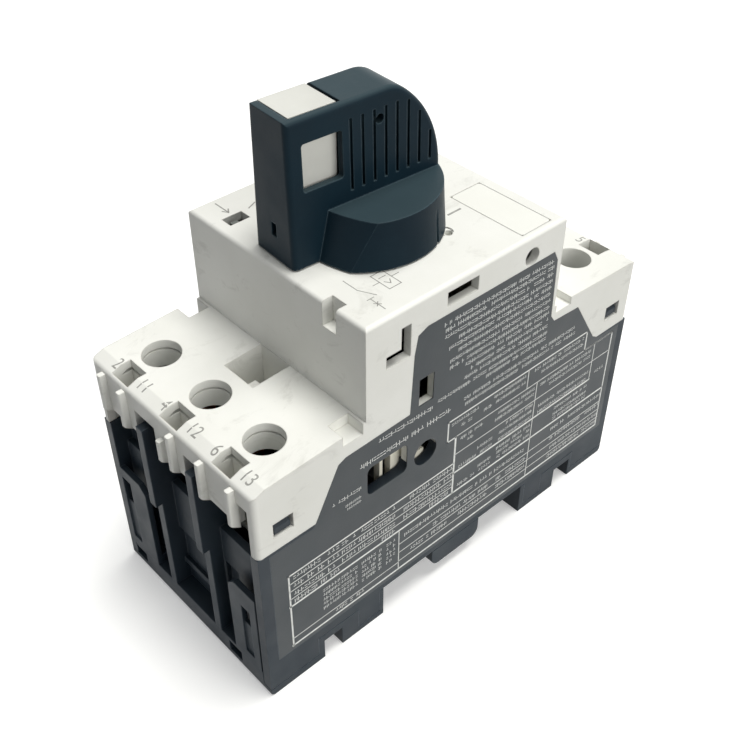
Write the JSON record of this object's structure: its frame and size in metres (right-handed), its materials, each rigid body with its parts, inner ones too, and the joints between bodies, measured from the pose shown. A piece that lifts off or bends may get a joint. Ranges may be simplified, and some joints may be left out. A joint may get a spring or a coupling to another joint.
{
  "type": "motor protection circuit breaker",
  "caption": "Rail-mounted motor protection circuit breaker with a lockable rotary handle, stepped grey housing, screw terminals at both ends and a printed side label.",
  "frame": {"origin": "middle of the footprint on the back (rail side) plane", "axes": "+Z out of the front, towards the handle; +Y towards the line terminals; +X towards the side with the label"},
  "size_m": [0.045, 0.0956, 0.0964],
  "materials": {
    "cover_grey": "fine satin moulding",
    "base_grey": "fine satin moulding",
    "spring_steel": "drawn wire",
    "label_dark": "semi-gloss film",
    "plate_white": "satin",
    "handle_black": "satin",
    "slide_grey": "satin",
    "inner_black": "satin",
    "plated_steel": "zinc plated",
    "copper": "bare copper",
    "silver_alloy": "dull silver",
    "bimetal": "rolled strip",
    "heater_sleeve": "woven glass sleeve",
    "link_green": "satin",
    "link_ivory": "satin",
    "test_red": "satin",
    "dial_white": "satin",
    "screw_steel": "plated",
    "clamp_steel": "plated"
  },
  "bodies": {
    "housing": {"front_cover": "cover_grey", "terminal_cover_load": "cover_grey", "terminal_cover_line": "cover_grey", "base_housing": "base_grey", "rail_base": "base_grey", "rail_latch_spring": "spring_steel", "side_label": "label_dark", "marking_plate": "plate_white", "mechanism_plates": "plated_steel", "mechanism_pins": "plated_steel", "fixed_contacts": "silver_alloy", "line_busbars": "copper", "inner_busbars": "copper", "load_busbars": "copper", "arc_chutes": "plated_steel", "coil_bobbins": "inner_black", "magnet_coils": "copper", "magnet_yokes": "plated_steel", "bimetal_strips": "bimetal", "heater_windings": "heater_sleeve"},
    "handle": {"rotary_handle": "handle_black", "switch_shaft": "inner_black"},
    "lock_slide": {"handle_lock_slide": "slide_grey"},
    "rocker": {"rocker_lever": "plated_steel"},
    "trip_catch": {"trip_latch": "plated_steel"},
    "contact_set": {"contact_carrier": "inner_black", "contact_bridges": "copper", "contact_springs": "spring_steel", "switch_link": "link_ivory"},
    "trip_slider": {"trip_bar": "inner_black", "trip_link": "link_green"},
    "test_slider": {"test_lever": "test_red"},
    "dial": {"setting_dial": "dial_white"},
    "rail_catch": {"rail_latch": "base_grey"},
    "plunger_1": {"magnet_plunger_1": "plated_steel"},
    "plunger_2": {"magnet_plunger_2": "plated_steel"},
    "plunger_3": {"magnet_plunger_3": "plated_steel"},
    "screw_1": {"terminal_screw_1": "screw_steel"},
    "clamp_1": {"terminal_clamp_1": "clamp_steel"},
    "screw_2": {"terminal_screw_2": "screw_steel"},
    "clamp_2": {"terminal_clamp_2": "clamp_steel"},
    "screw_3": {"terminal_screw_3": "screw_steel"},
    "clamp_3": {"terminal_clamp_3": "clamp_steel"},
    "screw_4": {"terminal_screw_4": "screw_steel"},
    "clamp_4": {"terminal_clamp_4": "clamp_steel"},
    "screw_5": {"terminal_screw_5": "screw_steel"},
    "clamp_5": {"terminal_clamp_5": "clamp_steel"},
    "screw_6": {"terminal_screw_6": "screw_steel"},
    "clamp_6": {"terminal_clamp_6": "clamp_steel"}
  },
  "joints": [
    {"name": "handle_turn", "type": "hinge", "parent": "housing", "child": "handle", "pos_m": [0, -0.0053, 0.0714], "axis": [0, 0, 1], "range_deg": [0, 93.5]},
    {"name": "lock_slide_pull", "type": "slide", "parent": "handle", "child": "lock_slide", "axis": [0, 0, 1], "range_m": [0, 0.008]},
    {"name": "contact_lift", "type": "slide", "parent": "housing", "child": "contact_set", "axis": [0, 0, 1], "range_m": [0, 0.0036]},
    {"name": "rocker_tilt", "type": "hinge", "parent": "housing", "child": "rocker", "pos_m": [0, 0.0045, 0.0505], "axis": [1, 0, 0], "range_deg": [0, 20.5]},
    {"name": "trip_bar_slide", "type": "slide", "parent": "housing", "child": "trip_slider", "axis": [0, 1, 0], "range_m": [0, 0.0012], "stiffness_N_per_m": 200, "springref_m": -0.001},
    {"name": "trip_catch_tilt", "type": "hinge", "parent": "housing", "child": "trip_catch", "pos_m": [0, -0.0174, 0.05], "axis": [1, 0, 0], "range_deg": [0, 9]},
    {"name": "test_slide", "type": "slide", "parent": "housing", "child": "test_slider", "axis": [0, 1, 0], "range_m": [0, 0.0013]},
    {"name": "dial_turn", "type": "hinge", "parent": "housing", "child": "dial", "pos_m": [-0.0145, 0.013, 0.069], "axis": [0, 0, 1], "range_deg": [-140, 140]},
    {"name": "rail_catch_slide", "type": "slide", "parent": "housing", "child": "rail_catch", "axis": [0, -1, 0], "range_m": [0, 0.003], "stiffness_N_per_m": 1200, "springref_m": -0.002},
    {"name": "plunger_1_lift", "type": "slide", "parent": "housing", "child": "plunger_1", "axis": [0, 0, 1], "range_m": [0, 0.002]},
    {"name": "plunger_2_lift", "type": "slide", "parent": "housing", "child": "plunger_2", "axis": [0, 0, 1], "range_m": [0, 0.002]},
    {"name": "plunger_3_lift", "type": "slide", "parent": "housing", "child": "plunger_3", "axis": [0, 0, 1], "range_m": [0, 0.002]},
    {"name": "screw_1_turn", "type": "hinge", "parent": "housing", "child": "screw_1", "pos_m": [-0.0142, 0.0375, 0.046], "axis": [0, 0, -1], "range_deg": [0, 1440]},
    {"name": "clamp_1_lift", "type": "slide", "parent": "housing", "child": "clamp_1", "axis": [0, 0, 1], "range_m": [0, 0.0024]},
    {"name": "screw_2_turn", "type": "hinge", "parent": "housing", "child": "screw_2", "pos_m": [-0.0142, -0.0375, 0.046], "axis": [0, 0, -1], "range_deg": [0, 1440]},
    {"name": "clamp_2_lift", "type": "slide", "parent": "housing", "child": "clamp_2", "axis": [0, 0, 1], "range_m": [0, 0.0024]},
    {"name": "screw_3_turn", "type": "hinge", "parent": "housing", "child": "screw_3", "pos_m": [0, 0.0375, 0.046], "axis": [0, 0, -1], "range_deg": [0, 1440]},
    {"name": "clamp_3_lift", "type": "slide", "parent": "housing", "child": "clamp_3", "axis": [0, 0, 1], "range_m": [0, 0.0024]},
    {"name": "screw_4_turn", "type": "hinge", "parent": "housing", "child": "screw_4", "pos_m": [0, -0.0375, 0.046], "axis": [0, 0, -1], "range_deg": [0, 1440]},
    {"name": "clamp_4_lift", "type": "slide", "parent": "housing", "child": "clamp_4", "axis": [0, 0, 1], "range_m": [0, 0.0024]},
    {"name": "screw_5_turn", "type": "hinge", "parent": "housing", "child": "screw_5", "pos_m": [0.0142, 0.0375, 0.046], "axis": [0, 0, -1], "range_deg": [0, 1440]},
    {"name": "clamp_5_lift", "type": "slide", "parent": "housing", "child": "clamp_5", "axis": [0, 0, 1], "range_m": [0, 0.0024]},
    {"name": "screw_6_turn", "type": "hinge", "parent": "housing", "child": "screw_6", "pos_m": [0.0142, -0.0375, 0.046], "axis": [0, 0, -1], "range_deg": [0, 1440]},
    {"name": "clamp_6_lift", "type": "slide", "parent": "housing", "child": "clamp_6", "axis": [0, 0, 1], "range_m": [0, 0.0024]}
  ],
  "couplings": [
    {"joint": "contact_lift", "follows": "handle_turn", "m_per_rad": 0.0021448},
    {"joint": "rocker_tilt", "follows": "handle_turn", "ratio": 0.21448},
    {"joint": "trip_catch_tilt", "follows": "trip_bar_slide", "rad_per_m": 120},
    {"joint": "test_slide", "follows": "trip_bar_slide", "ratio": 1},
    {"joint": "screw_1_turn", "follows": "clamp_1_lift", "rad_per_m": 10470},
    {"joint": "screw_2_turn", "follows": "clamp_2_lift", "rad_per_m": 10470},
    {"joint": "screw_3_turn", "follows": "clamp_3_lift", "rad_per_m": 10470},
    {"joint": "screw_4_turn", "follows": "clamp_4_lift", "rad_per_m": 10470},
    {"joint": "screw_5_turn", "follows": "clamp_5_lift", "rad_per_m": 10470},
    {"joint": "screw_6_turn", "follows": "clamp_6_lift", "rad_per_m": 10470}
  ]
}
